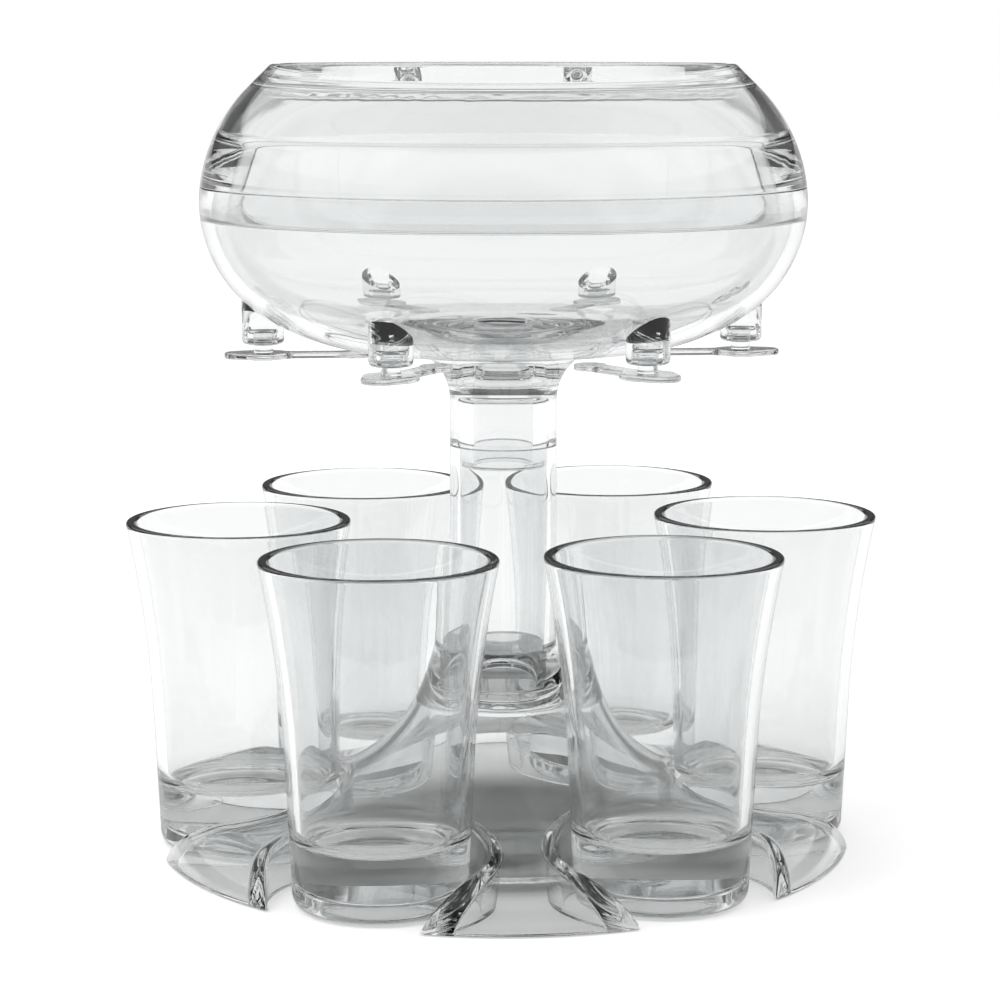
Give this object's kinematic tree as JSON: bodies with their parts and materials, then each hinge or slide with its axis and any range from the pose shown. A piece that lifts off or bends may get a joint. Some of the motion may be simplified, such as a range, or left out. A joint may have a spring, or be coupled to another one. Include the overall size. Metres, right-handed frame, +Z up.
{
  "type": "party shot dispenser",
  "caption": "Clear moulded drink bowl with turn-key taps on a hollow column and petal base, with a shot cup standing in the bay under each tap.",
  "frame": {"origin": "on the table under the column's axis, at the centre of the footprint", "axes": "+Z up along the column; +X to the first tap and cup, the other taps and cups follow every 60 degrees"},
  "size_m": [0.18, 0.1668, 0.1853],
  "materials": {
    "clear_bowl": "polished clear moulding",
    "clear_base": "polished clear moulding",
    "clear_column": "polished clear tube",
    "clear_tap": "polished clear moulding",
    "clear_cup": "polished clear moulding",
    "seal_silicone": "translucent matt silicone"
  },
  "bodies": {
    "stand": {"base": "clear_base", "column": "clear_column"},
    "bowl": {"lower_shell": "clear_bowl", "upper_shell": "clear_bowl"},
    "tap_1": {"tap_1": "clear_tap", "tap_seal_1": "seal_silicone"},
    "tap_2": {"tap_2": "clear_tap", "tap_seal_2": "seal_silicone"},
    "tap_3": {"tap_3": "clear_tap", "tap_seal_3": "seal_silicone"},
    "tap_4": {"tap_4": "clear_tap", "tap_seal_4": "seal_silicone"},
    "tap_5": {"tap_5": "clear_tap", "tap_seal_5": "seal_silicone"},
    "tap_6": {"tap_6": "clear_tap", "tap_seal_6": "seal_silicone"},
    "cup_1": {"cup_1": "clear_cup"},
    "cup_2": {"cup_2": "clear_cup"},
    "cup_3": {"cup_3": "clear_cup"},
    "cup_4": {"cup_4": "clear_cup"},
    "cup_5": {"cup_5": "clear_cup"},
    "cup_6": {"cup_6": "clear_cup"}
  },
  "joints": [
    {"name": "bowl_lift", "type": "slide", "parent": "stand", "child": "bowl", "axis": [0, 0, 1], "range_m": [0, 0.08]},
    {"name": "tap_1_turn", "type": "hinge", "parent": "bowl", "child": "tap_1", "pos_m": [0.0568, 0, 0.1172], "axis": [0, 0, 1], "range_deg": [0, 90]},
    {"name": "tap_2_turn", "type": "hinge", "parent": "bowl", "child": "tap_2", "pos_m": [0.0284, 0.04919, 0.1172], "axis": [0, 0, 1], "range_deg": [0, 90]},
    {"name": "tap_3_turn", "type": "hinge", "parent": "bowl", "child": "tap_3", "pos_m": [-0.0284, 0.04919, 0.1172], "axis": [0, 0, 1], "range_deg": [0, 90]},
    {"name": "tap_4_turn", "type": "hinge", "parent": "bowl", "child": "tap_4", "pos_m": [-0.0568, 0, 0.1172], "axis": [0, 0, 1], "range_deg": [0, 90]},
    {"name": "tap_5_turn", "type": "hinge", "parent": "bowl", "child": "tap_5", "pos_m": [-0.0284, -0.04919, 0.1172], "axis": [0, 0, 1], "range_deg": [0, 90]},
    {"name": "tap_6_turn", "type": "hinge", "parent": "bowl", "child": "tap_6", "pos_m": [0.0284, -0.04919, 0.1172], "axis": [0, 0, 1], "range_deg": [0, 90]},
    {"name": "cup_1_lift", "type": "slide", "parent": "stand", "child": "cup_1", "axis": [0.7071, 0, 0.7071], "range_m": [0, 0.09]},
    {"name": "cup_2_lift", "type": "slide", "parent": "stand", "child": "cup_2", "axis": [0.3536, 0.6124, 0.7071], "range_m": [0, 0.09]},
    {"name": "cup_3_lift", "type": "slide", "parent": "stand", "child": "cup_3", "axis": [-0.3536, 0.6124, 0.7071], "range_m": [0, 0.09]},
    {"name": "cup_4_lift", "type": "slide", "parent": "stand", "child": "cup_4", "axis": [-0.7071, 0, 0.7071], "range_m": [0, 0.09]},
    {"name": "cup_5_lift", "type": "slide", "parent": "stand", "child": "cup_5", "axis": [-0.3536, -0.6124, 0.7071], "range_m": [0, 0.09]},
    {"name": "cup_6_lift", "type": "slide", "parent": "stand", "child": "cup_6", "axis": [0.3536, -0.6124, 0.7071], "range_m": [0, 0.09]}
  ]
}
